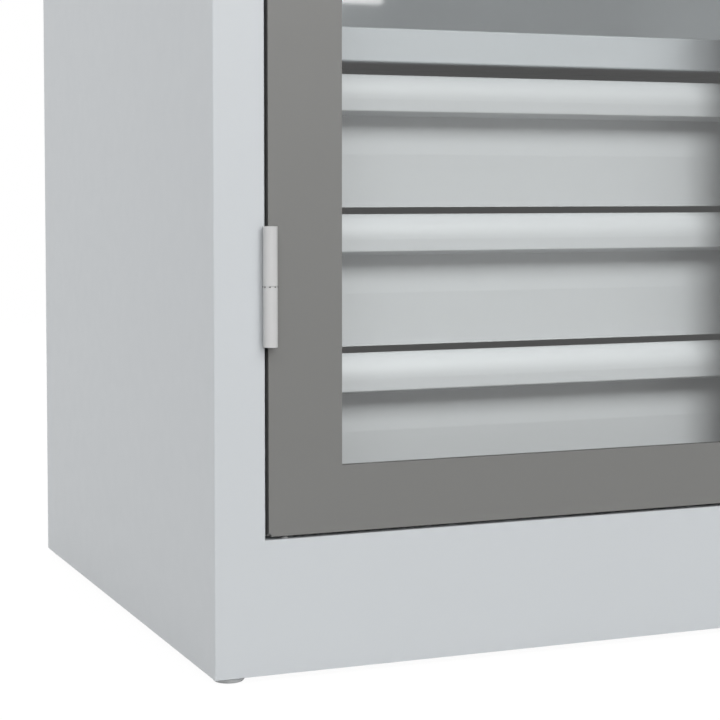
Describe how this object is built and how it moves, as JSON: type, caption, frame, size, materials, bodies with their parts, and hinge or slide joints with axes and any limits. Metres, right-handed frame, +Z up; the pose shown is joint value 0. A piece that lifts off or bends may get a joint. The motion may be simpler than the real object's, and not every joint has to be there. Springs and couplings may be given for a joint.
{
  "type": "heavy-duty drawer cabinet",
  "caption": "Free-standing steel cabinet with glazed wing doors, full-width drawers with rounded grips behind them, shelves, a rotary lock and levelling feet.",
  "frame": {"origin": "on the floor, in the middle of the cabinet's box", "axes": "+X to the right across the front, +Y into the depth, +Z up"},
  "size_m": [0.93, 0.538, 1.004],
  "materials": {
    "casing_paint": "light grey powder coat, fine satin texture",
    "door_paint": "dark grey powder coat, fine satin texture",
    "drawer_paint": "light grey powder coat",
    "shelf_paint": "blue-grey powder coat",
    "hinge_paint": "light grey powder coat",
    "window_plastic": "clear sheet",
    "seal_rubber": "black",
    "steel": "bright",
    "zinc_steel": "zinc plated",
    "cage_steel": "polished",
    "handle_plastic": "black, fine grain",
    "guide_plastic": "black",
    "glide_plastic": "white",
    "foot_plastic": "light grey",
    "cylinder_chrome": "polished"
  },
  "bodies": {
    "cabinet": {"side_panel_left": "casing_paint", "side_panel_right": "casing_paint", "back_panel": "casing_paint", "top_panel": "casing_paint", "plinth_front": "casing_paint", "bottom_panel": "casing_paint", "foot_brackets": "zinc_steel", "foot_nuts": "steel", "frame_hinge_halves": "hinge_paint", "hinge_pins": "steel", "hinge_washers": "hinge_paint", "door_stops": "casing_paint", "door_glides": "glide_plastic", "runner_posts_left": "casing_paint", "runner_posts_right": "casing_paint", "fixed_runners_1": "zinc_steel", "fixed_runners_2": "zinc_steel", "fixed_runners_3": "zinc_steel", "shelf_uprights_left": "casing_paint", "shelf_uprights_right": "casing_paint", "shelf_clips": "zinc_steel", "drawer_shelf": "shelf_paint", "upper_shelf": "shelf_paint"},
    "door_left": {"door_panel_left": "door_paint", "door_stiffener_left": "door_paint", "window_pane_left": "window_plastic", "window_seal_left": "seal_rubber", "glazing_frame_left": "door_paint", "glazing_screws_left": "zinc_steel", "door_hinge_halves_left": "hinge_paint"},
    "door_right": {"door_panel_right": "door_paint", "door_stiffener_right": "door_paint", "window_pane_right": "window_plastic", "window_seal_right": "seal_rubber", "glazing_frame_right": "door_paint", "glazing_screws_right": "zinc_steel", "door_hinge_halves_right": "hinge_paint", "handle_plate": "handle_plastic", "rod_guides": "guide_plastic"},
    "handle": {"door_handle": "handle_plastic", "rod_cam": "zinc_steel"},
    "cylinder": {"lock_cylinder": "cylinder_chrome"},
    "upper_rod": {"upper_locking_rod": "zinc_steel"},
    "lower_rod": {"lower_locking_rod": "zinc_steel"},
    "drawer_1": {"drawer_front_1": "drawer_paint", "drawer_tray_1": "drawer_paint", "moving_runners_1": "zinc_steel"},
    "drawer_2": {"drawer_front_2": "drawer_paint", "drawer_tray_2": "drawer_paint", "moving_runners_2": "zinc_steel"},
    "drawer_3": {"drawer_front_3": "drawer_paint", "drawer_tray_3": "drawer_paint", "moving_runners_3": "zinc_steel"},
    "cages_1": {"ball_cages_1": "cage_steel"},
    "cages_2": {"ball_cages_2": "cage_steel"},
    "cages_3": {"ball_cages_3": "cage_steel"},
    "foot_front_left": {"levelling_foot_front_left": "foot_plastic"},
    "foot_front_right": {"levelling_foot_front_right": "foot_plastic"},
    "foot_rear_left": {"levelling_foot_rear_left": "foot_plastic"},
    "foot_rear_right": {"levelling_foot_rear_right": "foot_plastic"}
  },
  "joints": [
    {"name": "door_left_swing", "type": "hinge", "parent": "cabinet", "child": "door_left", "pos_m": [-0.427, -0.236, 0.53], "axis": [0, 0, -1], "range_deg": [0, 180]},
    {"name": "door_right_swing", "type": "hinge", "parent": "cabinet", "child": "door_right", "pos_m": [0.427, -0.236, 0.53], "axis": [0, 0, 1], "range_deg": [0, 180]},
    {"name": "handle_turn", "type": "hinge", "parent": "door_right", "child": "handle", "pos_m": [0.0245, -0.25, 0.53], "axis": [0, 1, 0], "range_deg": [0, 90]},
    {"name": "cylinder_turn", "type": "hinge", "parent": "handle", "child": "cylinder", "pos_m": [0.0245, -0.26, 0.53], "axis": [0, 1, 0], "range_deg": [0, 90]},
    {"name": "upper_rod_slide", "type": "slide", "parent": "door_right", "child": "upper_rod", "axis": [0, 0, 1], "range_m": [0, 0.012]},
    {"name": "lower_rod_slide", "type": "slide", "parent": "door_right", "child": "lower_rod", "axis": [0, 0, -1], "range_m": [0, 0.012]},
    {"name": "drawer_1_slide", "type": "slide", "parent": "cabinet", "child": "drawer_1", "axis": [0, -1, 0], "range_m": [0, 0.32]},
    {"name": "drawer_2_slide", "type": "slide", "parent": "cabinet", "child": "drawer_2", "axis": [0, -1, 0], "range_m": [0, 0.32]},
    {"name": "drawer_3_slide", "type": "slide", "parent": "cabinet", "child": "drawer_3", "axis": [0, -1, 0], "range_m": [0, 0.32]},
    {"name": "cages_1_slide", "type": "slide", "parent": "cabinet", "child": "cages_1", "axis": [0, -1, 0], "range_m": [0, 0.16]},
    {"name": "cages_2_slide", "type": "slide", "parent": "cabinet", "child": "cages_2", "axis": [0, -1, 0], "range_m": [0, 0.16]},
    {"name": "cages_3_slide", "type": "slide", "parent": "cabinet", "child": "cages_3", "axis": [0, -1, 0], "range_m": [0, 0.16]},
    {"name": "foot_front_left_turn", "type": "hinge", "parent": "cabinet", "child": "foot_front_left", "pos_m": [-0.451, -0.217, 0.02], "axis": [0, 0, 1], "continuous": true},
    {"name": "foot_front_right_turn", "type": "hinge", "parent": "cabinet", "child": "foot_front_right", "pos_m": [0.451, -0.217, 0.02], "axis": [0, 0, 1], "continuous": true},
    {"name": "foot_rear_left_turn", "type": "hinge", "parent": "cabinet", "child": "foot_rear_left", "pos_m": [-0.451, 0.2538, 0.02], "axis": [0, 0, 1], "continuous": true},
    {"name": "foot_rear_right_turn", "type": "hinge", "parent": "cabinet", "child": "foot_rear_right", "pos_m": [0.451, 0.2538, 0.02], "axis": [0, 0, 1], "continuous": true}
  ],
  "couplings": [
    {"joint": "door_right_swing", "follows": "door_left_swing", "ratio": 1},
    {"joint": "upper_rod_slide", "follows": "handle_turn", "m_per_rad": 0.007639},
    {"joint": "lower_rod_slide", "follows": "handle_turn", "m_per_rad": 0.007639},
    {"joint": "drawer_1_slide", "follows": "door_left_swing", "m_per_rad": 0.10185},
    {"joint": "drawer_2_slide", "follows": "door_left_swing", "m_per_rad": 0.10185},
    {"joint": "drawer_3_slide", "follows": "door_left_swing", "m_per_rad": 0.10185},
    {"joint": "cages_1_slide", "follows": "door_left_swing", "m_per_rad": 0.050925},
    {"joint": "cages_2_slide", "follows": "door_left_swing", "m_per_rad": 0.050925},
    {"joint": "cages_3_slide", "follows": "door_left_swing", "m_per_rad": 0.050925}
  ]
}
